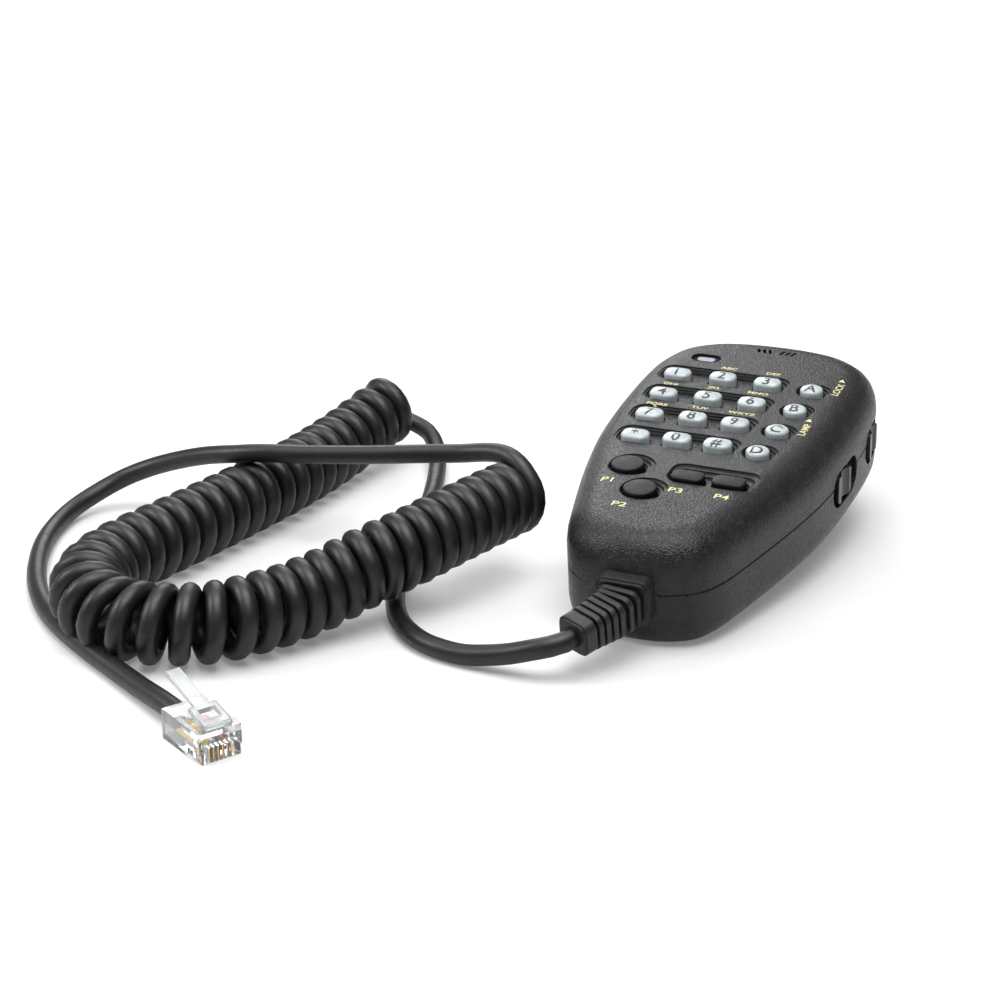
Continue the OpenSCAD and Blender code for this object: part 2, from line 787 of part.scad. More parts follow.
plug_lead_route = [
    [-41.2, -16, 25.3], [-44.6, -14.4, 25.7], [-50, -13, 25.7], [-55.5, -12.6, 25.4],
    [-62, -13.4, 24.9], [-70, -15, 24.1], [-79, -16.8, 23.2], [-88.5, -18.6, 22.4],
    [-98, -20.4, 21.7], [-107, -21.8, 21.2], [-115, -22.2, 19.9], [-124, -21, 17.8],
    [-133.5, -19.4, 14.6], [-142, -19, 11.3], [-149, -21, 8.1], [-153.8, -26, 5.2],
    [-156, -34, 3.2], [-154.6, -44, 2.4], [-150.4, -55, 2.4], [-144.4, -66, 2.4],
    [-137, -76.6, 2.4], [-128.4, -86, 2.4], [-118.6, -94, 2.4], [-107, -101.2, 2.4],
    [-95, -107.8, 2.4], [-83.5, -114.2, 2.7], [-75, -119, 3.3], [-68, -122.8, 3.3],
    [-64, -125, 3.3],
];

// The cord and its plug share the microphone's shift, so that the origin stays where it is.
module lay() {
    translate([footprint_side, 0, 0]) children();
}

// Round tube through the points of a route, with a flat face square to the route at each end.
function route_direction(route, i) =
    let (d = route[min(i + 1, len(route) - 1)] - route[max(i - 1, 0)])
    d / norm(d);

function tube_ring(route, i, radius, sides) =
    let (
        along = route_direction(route, i),
        flat = cross(along, [0, 0, 1]),
        across = flat / norm(flat),
        up = cross(across, along))
    [for (k = [0 : sides - 1])
        route[i] + radius * (cos(360 * k / sides) * across + sin(360 * k / sides) * up)];

module tube(route, diameter, sides) {
    stack([for (i = [0 : len(route) - 1]) reversed(tube_ring(route, i, diameter / 2, sides))]);
}

module cord_mic_lead() {
    color(rubber_colour) tube(mic_lead_route, cord_diameter, 8);
}

module cord_coil() {
    color(rubber_colour) tube(coil_route, coil_diameter, 12);
}

module cord_plug_lead() {
    color(rubber_colour) tube(plug_lead_route, cord_diameter, 8);
}

// ---------------------------------------------------------------- plug

plug_rear = [-68, -122.8];
plug_heading = -29;
plug_size = [15.2, 9.65, 6.6];
contact_pitch = 1.02;
latch_pivot = [14.4, 7.2];
latch_rise = 15;

// Frame of the plug: x runs from the rear to the nose, y across, z up from the table.
module at_plug() {
    translate([plug_rear.x, plug_rear.y, 0]) rotate([0, 0, plug_heading]) children();
}

module plug_body() {
    color("#e6ecef", 0.5) at_plug() difference() {
        translate([0, -plug_size.y / 2, 0]) cube(plug_size);
        translate([-1, -3.1, 0.75]) cube([8, 6.2, 5.1]);
        translate([6.9, -3.1, 2.2]) cube([4.9, 6.2, 2.2]);
        for (i = [0 : 5]) {
            translate([11.7, (i - 2.5) * contact_pitch - 0.25, -1]) cube([5, 0.5, 4.2]);
        }
        for (side = [-1, 1]) {
            translate([10.4, side * 4.9 - 0.5, -1]) cube([6, 1, 3.2]);
        }
    }
}

// Latch, a springy tongue: a wide shoulder with a window near the nose and a narrow lever behind.
module plug_latch() {
    color("#e6ecef", 0.5) at_plug() translate([latch_pivot.x, 0, latch_pivot.y]) {
        rotate([0, latch_rise, 0]) difference() {
            union() {
                rotate([90, 0, 0]) cylinder(d = 1.1, h = 6.1, center = true);
                translate([-6.4, -3.05, -0.5]) cube([6.4, 6.1, 1.3]);
                translate([-18.6, -1.62, -0.4]) cube([13, 3.24, 1]);
            }
            translate([-4.9, -2, -1]) cube([3, 4, 3]);
        }
    }
}

module plug_contacts() {
    color("#d6a23c") at_plug() for (i = [0 : 5]) {
        translate([11.85, (i - 2.5) * contact_pitch - 0.18, 0.35]) cube([3.1, 0.36, 2.5]);
    }
}

module plug_wires() {
    color("#d8b13a") at_plug() for (i = [0 : 5]) {
        translate([4.6, (i - 2.5) * contact_pitch, 3.3]) rotate([0, 90, 0]) cylinder(d = 0.9, h = 7);
    }
}

// ---------------------------------------------------------------- assembly

lie() front_case();
lie() back_case();
lie() keypad_mat();
lie() circuit_board();
lie() board_parts();
lie() encoder_chip();
lie() status_led();
lie() led_lens();
lie() mic_capsule();
lie() mic_boot();
lie() ptt_bar();
lie() ptt_pin();
lie() ptt_switch();
lie() lock_slider();
lie() lamp_slider();
lie() lock_switch();
lie() lamp_switch();
lie() end_button(-1);  // up_button
lie() end_button(1);  // down_button
lie() up_down_switches();
lie() wire_socket();
lie() inner_wires();
lie() strain_relief();
lie() hang_button();
lie() hang_screw();
lie() case_screws();
lie() board_screws();
lie() rating_label();
for (i = [0 : len(digit_names) - 1]) {
    lie() digit_key(i);
}
for (i = [0 : len(letter_names) - 1]) {
    lie() letter_key(i);
}
for (i = [0, 1]) {
    lie() round_key(i);
    lie() oblong_key(i);
}
lay() cord_mic_lead();
lay() cord_coil();
lay() cord_plug_lead();
lay() plug_body();
lay() plug_latch();
lay() plug_contacts();
lay() plug_wires();
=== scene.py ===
"""Looks of the hand microphone: cases, keys, prints, curly cord and plug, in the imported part's frame."""

import json
import math

import bmesh
import bpy
from mathutils import Matrix, Vector
from mathutils.bvhtree import BVHTree


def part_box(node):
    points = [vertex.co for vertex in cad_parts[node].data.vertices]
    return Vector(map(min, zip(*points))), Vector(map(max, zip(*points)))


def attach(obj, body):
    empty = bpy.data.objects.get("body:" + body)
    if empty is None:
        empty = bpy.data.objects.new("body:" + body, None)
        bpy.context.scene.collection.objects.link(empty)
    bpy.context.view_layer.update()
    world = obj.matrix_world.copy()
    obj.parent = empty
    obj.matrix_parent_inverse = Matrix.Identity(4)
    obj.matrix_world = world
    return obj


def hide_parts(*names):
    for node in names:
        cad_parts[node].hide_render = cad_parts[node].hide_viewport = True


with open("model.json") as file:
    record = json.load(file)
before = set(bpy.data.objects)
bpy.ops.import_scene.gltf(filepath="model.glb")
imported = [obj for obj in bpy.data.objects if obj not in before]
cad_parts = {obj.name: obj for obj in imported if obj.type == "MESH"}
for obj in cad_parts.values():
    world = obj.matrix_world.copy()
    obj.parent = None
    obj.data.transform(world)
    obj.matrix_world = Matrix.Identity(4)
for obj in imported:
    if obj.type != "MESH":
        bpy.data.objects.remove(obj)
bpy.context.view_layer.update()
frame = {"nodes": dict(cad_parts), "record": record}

# ---------------------------------------------------------------- sizes

MM = 0.001

# The microphone leans on its hang button: its own axes are turned and shifted from the record's.
LEAN = math.radians(7)
FOOTPRINT = Vector((0.7, -47.3, -0.629)) * MM
ON_MIC = Matrix.Translation(FOOTPRINT) @ Matrix.Rotation(LEAN, 4, "X")

CORD_DIAMETER = 4.7 * MM
COIL_DIAMETER = 18.4 * MM
# The curl's pitch in millimetres, at shares of its length from the microphone's end.
COIL_PITCHES = [(0, 6.1), (0.5, 6.2), (0.7, 5.6), (0.86, 4.8), (1, 4.8)]
POINTS_PER_TURN = 20
# How many of the cord's points before and after each end of the curl give way to a smooth bend, and
# how far the bend's handles reach as a share of the distance that it spans.
FIRST_BEND = (10, 1)
LAST_BEND = (3, 9)
BEND_REACH = 1.25

# Every key stands on a flange, which stays under the face.
FLANGE_WIDTH = 0.8 * MM
OBLONG_FLANGE_ACROSS = 0.6 * MM
FLANGE_HEIGHT = 0.8 * MM
DIGIT_CORNER = 2 * MM
LETTER_CORNER = 2.79 * MM
OBLONG_CORNER = 1.8 * MM
LEAST_CORNER = 0.3 * MM
# A round key's corners stop this far short of the middle of each side, so that no two points meet.
LEAST_STRAIGHT = 0.01 * MM
# The top of a pale and of a dark key: the rounding of its edge and the height of its dome.
PALE_TOP = (0.8 * MM, 0.4 * MM)
DARK_TOP = (0.4 * MM, 0.15 * MM)
CORNER_STEPS = 8
EDGE_STEPS = 6
DOME_STEPS = 9

# Points closer than these are joined, in the CAD's shapes and in prints.
SHAPE_WELD = 0.002 * MM
PRINT_WELD = 0.001 * MM
# Faces that meet at more than these degrees keep a sharp edge.
SHAPE_SHARP = 35
KEY_SHARP = 50

# Edges of a print longer than a step are halved, in so many rounds at most, before it is stretched.
PRINT_STEP = 0.35 * MM
PRINT_ROUNDS = 4
# Prints lie this far above their surface.
PRINT_LIFT = 0.025 * MM
# Prints are dropped onto their surface from this far above their place.
PRINT_DROP = Vector((0, 0, 20 * MM))

PLUG_HEADING = math.radians(-29)
PLUG_REAR = Vector((-67.3, -122.8, 0)) * MM
# Width of the six wires side by side in the plug.
PLUG_WIRE_ROW = 6.12 * MM

# ---------------------------------------------------------------- cord route

# The same points as in the part's source, in its millimetres.
ROUTE_SHIFT = Vector((0.7, 0, 0))
MIC_LEAD = [
    (-5.7, -67, 9), (-6.6, -69, 8.6), (-9, -71, 8), (-13, -72, 6.8), (-18, -72, 5),
    (-23.5, -72, 3.6), (-29, -71.8, 2.6), (-34.5, -71, 2.4), (-39.5, -69.4, 2.4),
    (-44, -66.6, 2.4), (-48, -63, 2.4), (-52, -58, 2.4), (-56, -51, 2.4), (-60, -42.5, 2.4),
    (-64, -32, 2.4), (-68, -19.5, 2.4), (-72, -5.5, 2.4), (-76, 8.5, 2.4), (-79.5, 18.5, 2.4),
    (-82.6, 26.5, 2.6), (-85.6, 33.6, 3.2), (-88.8, 39.8, 4.4), (-92.8, 44.8, 6.2),
    (-97.6, 48, 8.4), (-102.8, 48.8, 10.8), (-107.4, 46.8, 13),
]
COIL = [
    (-102.6, 40.6, 15), (-104.6, 33, 13), (-106.2, 25, 11.1), (-107.6, 14.5, 9.7), (-108.5, 2, 9.2),
    (-109.5, -11, 9.2), (-111.4, -26, 9.2), (-113.6, -41.5, 9.2), (-116, -56, 9.2),
    (-118, -69, 9.2), (-117.6, -79.5, 9.2), (-113.8, -88.5, 9.2), (-107, -95, 9.2),
    (-99, -98, 9.2), (-91, -97.6, 9.2), (-84, -94.8, 9.2), (-78, -90, 9.2),
    (-73.4, -83.4, 9.2), (-69.4, -76.4, 9.4), (-65.4, -69.6, 10.4), (-61.4, -63.6, 12.2),
    (-57.4, -57.4, 14), (-53, -50, 15.4), (-48.8, -40, 16.8), (-44.4, -28, 17.9),
    (-40.6, -16, 18.4),
]
PLUG_LEAD = [
    (-41.2, -16, 25.3), (-44.6, -14.4, 25.7), (-50, -13, 25.7), (-55.5, -12.6, 25.4),
    (-62, -13.4, 24.9), (-70, -15, 24.1), (-79, -16.8, 23.2), (-88.5, -18.6, 22.4),
    (-98, -20.4, 21.7), (-107, -21.8, 21.2), (-115, -22.2, 19.9), (-124, -21, 17.8),
    (-133.5, -19.4, 14.6), (-142, -19, 11.3), (-149, -21, 8.1), (-153.8, -26, 5.2),
    (-156, -34, 3.2), (-154.6, -44, 2.4), (-150.4, -55, 2.4), (-144.4, -66, 2.4),
    (-137, -76.6, 2.4), (-128.4, -86, 2.4), (-118.6, -94, 2.4), (-107, -101.2, 2.4),
    (-95, -107.8, 2.4), (-83.5, -114.2, 2.7), (-75, -119, 3.3), (-68, -122.8, 3.3),
    (-64, -125, 3.3),
]


def in_metres(route):
    return [(Vector(point) + ROUTE_SHIFT) * MM for point in route]


def smooth_path(points, spacing):
    """Points of one smooth curve through the given ones, about spacing apart."""
    ends = [2 * points[0] - points[1], *points, 2 * points[-1] - points[-2]]
    path = []
    for before, start, end, after in zip(ends, ends[1:], ends[2:], ends[3:]):
        steps = max(1, round((end - start).length / spacing))
        for step in range(steps):
            t = step / steps
            path.append(
                0.5 * (2 * start + t * (end - before)
                       + t * t * (2 * before - 5 * start + 4 * end - after)
                       + t ** 3 * (3 * start - before - 3 * end + after))
            )
    return [*path, points[-1]]


def path_length(path):
    return sum((b - a).length for a, b in zip(path, path[1:]))


def at_length(path, lengths, distance):
    """Place and direction at a distance along a path, whose running lengths are given."""
    i = 1
    while i < len(path) - 1 and lengths[i] < distance:
        i += 1
    share = (distance - lengths[i - 1]) / (lengths[i] - lengths[i - 1])
    before = path[max(i - 2, 0)]
    after = path[min(i + 1, len(path) - 1)]
    return path[i - 1].lerp(path[i], share), (after - before).normalized()


def pitch_at(share):
    """The curl's pitch at a share of its length."""
    for (start, low), (end, high) in zip(COIL_PITCHES, COIL_PITCHES[1:]):
        if share <= end:
            return (low + (high - low) * (share - start) / (end - start)) * MM
    return COIL_PITCHES[-1][1] * MM


def running_turns(path):
    """How long a middle line is, and how many turns it holds, up to each of its points."""
    whole_length = path_length(path)
    lengths = [0]
    turns = [0]
    for a, b in zip(path, path[1:]):
        step = (b - a).length
        lengths.append(lengths[-1] + step)
        turns.append(turns[-1] + step / pitch_at(lengths[-1] / whole_length))
    return lengths, turns


def helix(middle):
    """Left-handed turns about a middle line: from its right side at the start to its top at the end."""
    path = smooth_path(middle, 1 * MM)
    lengths, turns = running_turns(path)
    turn_count = round(turns[-1]) + 0.25
    radius = (COIL_DIAMETER - CORD_DIAMETER) / 2
    count = round(turn_count * POINTS_PER_TURN)
    points = []
    row = 0
    for i in range(count + 1):
        turn = turns[-1] * i / count
        while row < len(turns) - 2 and turns[row + 1] < turn:
            row += 1
        share = (turn - turns[row]) / (turns[row + 1] - turns[row])
        reached = min(lengths[row] + share * (lengths[row + 1] - lengths[row]), lengths[-1])
        place, along = at_length(path, lengths, reached)
        side = along.cross(Vector((0, 0, 1))).normalized()
        up = side.cross(along)
        angle = 2 * math.pi * turn_count * i / count
        points.append(place + radius * (math.cos(angle) * side + math.sin(angle) * up))
    return points


def bridged(path, start, end):
    """The path with the points between two places put on one bend that keeps the headings at both."""
    first, last = path[start], path[end]
    reach = BEND_REACH * (last - first).length
    leaving = (first - path[start - 1]).normalized() * reach
    joining = (path[end + 1] - last).normalized() * reach
    bend = []
    for i in range(1, end - start):
        t = i / (end - start)
        bend.append(
            (2 * t ** 3 - 3 * t ** 2 + 1) * first + (t ** 3 - 2 * t ** 2 + t) * leaving
            + (3 * t ** 2 - 2 * t ** 3) * last + (t ** 3 - t ** 2) * joining
        )
    return path[:start + 1] + bend + path[end:]


def cord_path():
    """The whole cord's middle line: the microphone's lead, the curl and the plug's lead."""
    spacing = math.pi * (COIL_DIAMETER - CORD_DIAMETER) / POINTS_PER_TURN
    lead = smooth_path(in_metres(MIC_LEAD), spacing)
    turns = helix(in_metres(COIL))
    tail = smooth_path(in_metres(PLUG_LEAD), spacing)[1:]
    curl_start = len(lead)
    curl_end = len(lead) + len(turns)
    path = lead + turns + tail
    path = bridged(path, curl_end - LAST_BEND[0], curl_end + LAST_BEND[1])
    return bridged(path, curl_start - FIRST_BEND[0], curl_start + FIRST_BEND[1])


# ---------------------------------------------------------------- materials

# Noise seldom leaves the middle of its range, so this much of it is taken as the whole.
NOISE_RANGE = (0.3, 0.7)
COLOUR_RANGE = (0.32, 0.68)


def new_material(name, colour, roughness, **settings):
    material = bpy.data.materials.new(name)
    material.use_nodes = True
    shader = material.node_tree.nodes["Principled BSDF"]
    shader.inputs["Base Color"].default_value = (*colour, 1)
    shader.inputs["Roughness"].default_value = roughness
    for socket, value in settings.items():
        shader.inputs[socket.replace("_", " ")].default_value = value
    return material, material.node_tree, shader


def add(tree, kind, inputs=None, **properties):
    """A new node, with its sockets' values or the sockets linked into them."""
    made = tree.nodes.new(kind)
    for name, value in properties.items():
        setattr(made, name, value)
    for name, value in (inputs or {}).items():
        if isinstance(value, bpy.types.NodeSocket):
            tree.links.new(value, made.inputs[name])
        else:
            made.inputs[name].default_value = value
    return made


def object_place(tree):
    return add(tree, "ShaderNodeTexCoord").outputs["Object"]


def noise(tree, size, detail=3):
    """Noise whose blobs are about size metres wide, 0 to 1."""
    inputs = {"Vector": object_place(tree), "Scale": 1 / size, "Detail": detail, "Roughness": 0.55}
    return add(tree, "ShaderNodeTexNoise", inputs).outputs["Fac"]


def vary_colour(tree, shader, size, dark, light):
    ramp = add(tree, "ShaderNodeValToRGB", {"Fac": noise(tree, size)})
    for element, position, colour in zip(ramp.color_ramp.elements, COLOUR_RANGE, (dark, light)):
        element.position = position
        element.color = (*colour, 1)
    tree.links.new(ramp.outputs["Color"], shader.inputs["Base Color"])


def vary_roughness(tree, shader, size, low, high):
    inputs = {"Value": noise(tree, size), "From Min": NOISE_RANGE[0], "From Max": NOISE_RANGE[1],
              "To Min": low, "To Max": high}
    spread = add(tree, "ShaderNodeMapRange", inputs)
    tree.links.new(spread.outputs["Result"], shader.inputs["Roughness"])


def bump(tree, height, distance, strength, normal=None):
    inputs = {"Height": height, "Distance": distance, "Strength": strength}
    if normal is not None:
        inputs["Normal"] = normal
    return add(tree, "ShaderNodeBump", inputs).outputs["Normal"]


def soft_edges(tree, radius):
    return add(tree, "ShaderNodeBevel", {"Radius": radius}, samples=6).outputs["Normal"]


def pebbles(tree, size):
    """Leather grain: rounded cells with narrow valleys between them."""
    place = object_place(tree)
    jitter = add(tree, "ShaderNodeTexNoise", {"Vector": place, "Scale": 0.6 / size, "Detail": 2})
    shift = add(
        tree, "ShaderNodeVectorMath", {0: jitter.outputs["Color"], "Scale": 1.6 * size},
        operation="SCALE")
    moved = add(tree, "ShaderNodeVectorMath", {0: place, 1: shift.outputs["Vector"]})
    cells = add(
        tree, "ShaderNodeTexVoronoi", {"Vector": moved.outputs["Vector"], "Scale": 1 / size},
        feature="DISTANCE_TO_EDGE")
    crown = add(
        tree, "ShaderNodeMapRange",
        {"Value": cells.outputs["Distance"], "From Min": 0.0, "From Max": 0.35},
        interpolation_type="SMOOTHSTEP")
    return crown.outputs["Result"]


def case_plastic():
    material, tree, shader = new_material(
        "case_plastic", (0.012, 0.012, 0.013), 0.4, Specular_IOR_Level=0.28)
    vary_colour(tree, shader, 2.5 * MM, (0.006, 0.0062, 0.0068), (0.012, 0.0125, 0.0135))
    vary_roughness(tree, shader, 0.9 * MM, 0.28, 0.42)
    normal = bump(tree, pebbles(tree, 0.7 * MM), 0.07 * MM, 0.85, soft_edges(tree, 0.35 * MM))
    normal = bump(tree, noise(tree, 0.3 * MM), 0.035 * MM, 0.7, normal)
    tree.links.new(normal, shader.inputs["Normal"])
    return material


def satin_plastic(name, dark, light, smooth, dull, **settings):
    """Moulded plastic with a fine, even bite and slightly uneven gloss."""
    material, tree, shader = new_material(name, light, dull, **settings)
    vary_colour(tree, shader, 3 * MM, dark, light)
    vary_roughness(tree, shader, 1.4 * MM, smooth, dull)
    normal = bump(tree, noise(tree, 0.3 * MM), 0.015 * MM, 0.5, soft_edges(tree, 0.2 * MM))
    tree.links.new(normal, shader.inputs["Normal"])
    return material


def key_plastic():
    """Milky moulded plastic that light goes into a little."""
    material, tree, shader = new_material(
        "key_plastic", (0.36, 0.4, 0.41), 0.3, Subsurface_Weight=0.3, Subsurface_Scale=1.2 * MM,
        Coat_Weight=0.15, Coat_Roughness=0.15)
    shader.inputs["Subsurface Radius"].default_value = (0.8, 0.9, 1)
    vary_colour(tree, shader, 4 * MM, (0.32, 0.355, 0.365), (0.39, 0.43, 0.44))
    vary_roughness(tree, shader, 1.2 * MM, 0.22, 0.36)
    normal = bump(tree, noise(tree, 0.5 * MM), 0.01 * MM, 0.4)
    tree.links.new(normal, shader.inputs["Normal"])
    return material


def rubber(name, dark, light, smooth, dull, edge=0.2 * MM):
    material, tree, shader = new_material(name, light, dull, Specular_IOR_Level=0.4)
    vary_colour(tree, shader, 5 * MM, dark, light)
    vary_roughness(tree, shader, 1.8 * MM, smooth, dull)
    normal = bump(tree, noise(tree, 0.35 * MM, 4), 0.02 * MM, 0.45, soft_edges(tree, edge))
    tree.links.new(normal, shader.inputs["Normal"])
    return material


def clear_plastic(name, colour, clearness):
    material, tree, shader = new_material(name, colour, 0.06, Transmission_Weight=clearness, IOR=1.49)
    vary_roughness(tree, shader, 2 * MM, 0.02, 0.09)
    normal = bump(tree, noise(tree, 1.4 * MM, 1), 0.03 * MM, 0.25, soft_edges(tree, 0.15 * MM))
    tree.links.new(normal, shader.inputs["Normal"])
    return material


def metal(name, dark, light, smooth, dull):
    material, tree, shader = new_material(name, light, dull, Metallic=1.0)
    vary_colour(tree, shader, 1.5 * MM, dark, light)
    vary_roughness(tree, shader, 0.4 * MM, smooth, dull)
    normal = bump(tree, noise(tree, 0.2 * MM), 0.008 * MM, 0.4, soft_edges(tree, 0.15 * MM))
    tree.links.new(normal, shader.inputs["Normal"])
    return material


def board_laminate():
    """Green solder mask, with faint tracks under it."""
    material, tree, shader = new_material("board_laminate", (0.02, 0.12, 0.05), 0.35)
    tracks = add(tree, "ShaderNodeTexBrick", {
        "Vector": object_place(tree), "Scale": 220, "Color1": (0.015, 0.1, 0.04, 1),
        "Color2": (0.02, 0.13, 0.055, 1), "Mortar": (0.04, 0.2, 0.09, 1), "Mortar Size": 0.012})
    tree.links.new(tracks.outputs["Color"], shader.inputs["Base Color"])
    vary_roughness(tree, shader, 2 * MM, 0.3, 0.45)
    tree.links.new(bump(tree, tracks.outputs["Fac"], 0.02 * MM, 0.4), shader.inputs["Normal"])
    return material


WIRE_COLOURS = [
    (0.9, 0.62, 0.04), (0.85, 0.5, 0.03), (0.8, 0.8, 0.78),
    (0.02, 0.2, 0.05), (0.6, 0.12, 0.02), (0.55, 0.02, 0.02),
]


def wire_jackets(name, start, across):
    """Coloured insulation: the colour goes by place across the row of wires, from its start."""
    material, tree, shader = new_material(name, (0.6, 0.4, 0.05), 0.35, Coat_Weight=0.2)
    place = add(tree, "ShaderNodeVectorMath", {0: object_place(tree), 1: start}, operation="SUBTRACT")
    share = add(
        tree, "ShaderNodeVectorMath", {0: place.outputs["Vector"], 1: across / across.length_squared},
        operation="DOT_PRODUCT")
    ramp = add(tree, "ShaderNodeValToRGB", {"Fac": share.outputs["Value"]})
    ramp.color_ramp.interpolation = "CONSTANT"
    elements = ramp.color_ramp.elements
    while len(elements) < len(WIRE_COLOURS):
        elements.new(0.5)
    for i, colour in enumerate(WIRE_COLOURS):
        elements[i].position = i / len(WIRE_COLOURS)
        elements[i].color = (*colour, 1)
    tree.links.new(ramp.outputs["Color"], shader.inputs["Base Color"])
    vary_roughness(tree, shader, 0.8 * MM, 0.28, 0.42)
    return material


def ink(name, dark, light):
    material, tree, shader = new_material(name, light, 0.5)
    vary_colour(tree, shader, 0.5 * MM, dark, light)
    vary_roughness(tree, shader, 0.8 * MM, 0.4, 0.6)
    return material


# The floor's glow, from its least to its most, and the distances in metres that it grows between.
FLOOR_GLOW = (0.18, 1)
FLOOR_GLOW_DISTANCES = (0.3, 0.9)


def floor_paper():
    """Paper that looks white: it glows more with distance, where the lamps don't reach."""
    material, tree, shader = new_material("floor_paper", (0.51, 0.51, 0.51), 0.75)
    shader.inputs["Emission Color"].default_value = (1, 1, 1, 1)
    distance = add(tree, "ShaderNodeVectorMath", {0: object_place(tree)}, operation="LENGTH")
    nearest, farthest = FLOOR_GLOW_DISTANCES
    least, most = FLOOR_GLOW
    glow = add(tree, "ShaderNodeMapRange", {
        "Value": distance.outputs["Value"], "From Min": nearest, "From Max": farthest,
        "To Min": least, "To Max": most})
    tree.links.new(glow.outputs["Result"], shader.inputs["Emission Strength"])
    vary_colour(tree, shader, 30 * MM, (0.5, 0.5, 0.5), (0.52, 0.52, 0.52))
    tree.links.new(bump(tree, noise(tree, 1.5 * MM), 0.02 * MM, 0.2), shader.inputs["Normal"])
    return material


plug_across = Vector((-math.sin(PLUG_HEADING), math.cos(PLUG_HEADING), 0)) * PLUG_WIRE_ROW
plug_wires_start = PLUG_REAR - plug_across / 2
inner_low, inner_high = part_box("inner_wires")
inner_across = Vector((inner_high.x - inner_low.x, 0, 0))
inner_wires_start = Vector((inner_low.x, 0, 0))

case_finish = case_plastic()
key_finish = key_plastic()
function_finish = satin_plastic(
    "function_key", (0.003, 0.003, 0.0035), (0.006, 0.006, 0.007), 0.42, 0.55, Specular_IOR_Level=0.2)
control_finish = satin_plastic(
    "control_plastic", (0.004, 0.004, 0.0045), (0.008, 0.008, 0.009), 0.3, 0.42)
boot_finish = rubber("boot_rubber", (0.005, 0.005, 0.0055), (0.01, 0.01, 0.011), 0.4, 0.55, 0.45 * MM)
mat_finish = rubber("keypad_silicone", (0.05, 0.05, 0.055), (0.07, 0.07, 0.076), 0.5, 0.65)
cord_finish = rubber("cord_jacket", (0.004, 0.004, 0.0045), (0.007, 0.007, 0.008), 0.38, 0.5)
steel_finish = metal("screw_steel", (0.5, 0.5, 0.52), (0.62, 0.62, 0.64), 0.25, 0.38)
clear_finish = clear_plastic("plug_plastic", (0.9, 0.92, 0.92), 0.94)
# Painted shade: the latch is the plug's own clear plastic, made greyer and less clear here so that it
# shows grey against the floor, as the shade in its clear edges does.
latch_painted_shade_finish = clear_plastic("latch_plastic_painted_shade", (0.72, 0.74, 0.75), 0.72)
gold_finish = metal("contact_gold", (0.78, 0.48, 0.16), (0.92, 0.62, 0.26), 0.18, 0.3)
plug_wire_finish = wire_jackets("wire_jackets", plug_wires_start, plug_across)
inner_wire_finish = wire_jackets("inner_wire_jackets", inner_wires_start, inner_across)
board_finish = board_laminate()
component_finish = satin_plastic(
    "component_body", (0.02, 0.02, 0.022), (0.03, 0.03, 0.032), 0.4, 0.55)
socket_finish = satin_plastic("socket_plastic", (0.6, 0.57, 0.47), (0.68, 0.65, 0.55), 0.35, 0.5)
led_finish = satin_plastic("led_body", (0.7, 0.7, 0.52), (0.78, 0.78, 0.62), 0.1, 0.2)
window_finish = satin_plastic("window_plastic", (0.13, 0.145, 0.18), (0.18, 0.2, 0.24), 0.35, 0.45)
capsule_finish = metal("capsule_metal", (0.6, 0.6, 0.61), (0.74, 0.74, 0.75), 0.22, 0.34)
label_finish = satin_plastic("label_film", (0.28, 0.29, 0.3), (0.34, 0.35, 0.36), 0.28, 0.38)
yellow_ink = ink("yellow_ink", (0.5, 0.47, 0.2), (0.62, 0.58, 0.28))
black_ink = ink("black_ink", (0.008, 0.008, 0.01), (0.018, 0.018, 0.02))

# ---------------------------------------------------------------- helpers for pieces

# The body that each node rides on.
BODIES = {}
for body, nodes in frame["record"]["behaviour"]["bodies"].items():
    BODIES.update(dict.fromkeys(nodes, body))


def show(name, mesh, material, body):
    piece = bpy.data.objects.new(name, mesh)
    bpy.context.scene.collection.objects.link(piece)
    piece.data.materials.clear()
    piece.data.materials.append(material)
    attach(piece, body)
    return piece


def shaded(mesh, angle):
    """Smooth shading, with sharp edges where faces meet at more than an angle in degrees."""
    mesh.shade_smooth()
    mesh.set_sharp_from_angle(angle=math.radians(angle))


def refined(node, material):
    """The CAD node's shape as one joined mesh, so that its round faces shade smoothly."""
    form = bmesh.new()
    form.from_mesh(frame["nodes"][node].data)
    bmesh.ops.remove_doubles(form, verts=form.verts, dist=SHAPE_WELD)
    mesh = bpy.data.meshes.new(node + "_form")
    form.to_mesh(mesh)
    form.free()
    if "custom_normal" in mesh.attributes:
        mesh.attributes.remove(mesh.attributes["custom_normal"])
    shaded(mesh, SHAPE_SHARP)
    piece = show(node + "_piece", mesh, material, BODIES[node])
    even = piece.modifiers.new("even normals", "WEIGHTED_NORMAL")
    even.keep_sharp = True
    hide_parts(node)
    return piece


def local_box(node):
    """Lowest and highest corners of a node in the microphone's own axes."""
    to_mic = ON_MIC.inverted()
    points = [to_mic @ vertex.co for vertex in frame["nodes"][node].data.vertices]
    low = Vector(min(p[i] for p in points) for i in range(3))
    high = Vector(max(p[i] for p in points) for i in range(3))
    return low, high


def middle_of(node):
    low, high = local_box(node)
    return (low + high) / 2


def surface_tree(mesh):
    """A mesh as a surface in the microphone's own axes, for prints to be laid onto."""
    to_mic = ON_MIC.inverted()
    points = [to_mic @ vertex.co for vertex in mesh.vertices]
    return BVHTree.FromPolygons(points, [tuple(face.vertices) for face in mesh.polygons])


# ---------------------------------------------------------------- keys

def rounded_outline(width, depth, radius):
    """Points round a rectangle with round corners, about the origin."""
    outline = []
    for quarter, (sx, sy) in enumerate([(1, 1), (-1, 1), (-1, -1), (1, -1)]):
        middle = Vector((sx * (width / 2 - radius), sy * (depth / 2 - radius)))
        for i in range(CORNER_STEPS + 1):
            turn = math.radians(90 * (quarter + i / CORNER_STEPS))
            outline.append(middle + radius * Vector((math.cos(turn), math.sin(turn))))
    return outline


